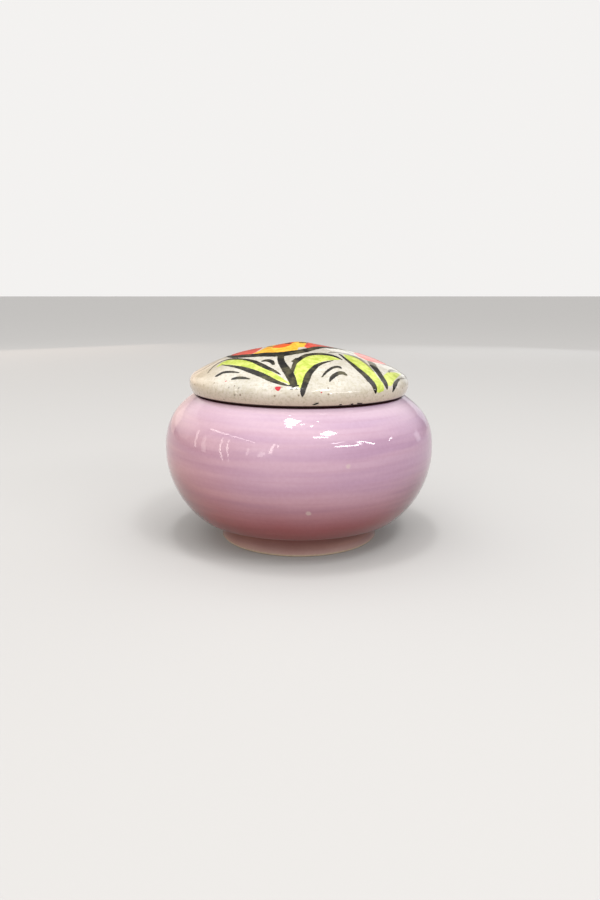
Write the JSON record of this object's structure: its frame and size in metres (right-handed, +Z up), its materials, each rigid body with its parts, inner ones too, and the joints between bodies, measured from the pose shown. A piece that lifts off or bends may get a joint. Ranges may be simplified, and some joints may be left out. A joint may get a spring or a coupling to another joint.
{
  "type": "greek pyxis box",
  "caption": "Small round ceramic pyxis box: a full-bellied bowl on a set-in foot ring, closed by a low domed lid that lifts off and is centred by a flange.",
  "frame": {"origin": "on the box's axis, in the plane that the foot ring stands on", "axes": "+Z up along the axis of the turned bowl and lid; -Y faces the viewer of the painted front"},
  "size_m": [0.11, 0.11, 0.0802],
  "materials": {
    "pink_glaze": "glossy clear glaze over brushed pink and lilac slip, warmer near the foot, wiped to bare clay where the foot ring stands",
    "cream_glaze": "glossy warm off-white glaze with fine dark specks and loose brush painting of flowers and leaves"
  },
  "bodies": {
    "box": {"bowl": "pink_glaze"},
    "cover": {"lid": "cream_glaze"}
  },
  "joints": [
    {"name": "lid_lift", "type": "slide", "parent": "box", "child": "cover", "axis": [0, 0, 1], "range_m": [0, 0.06]}
  ]
}
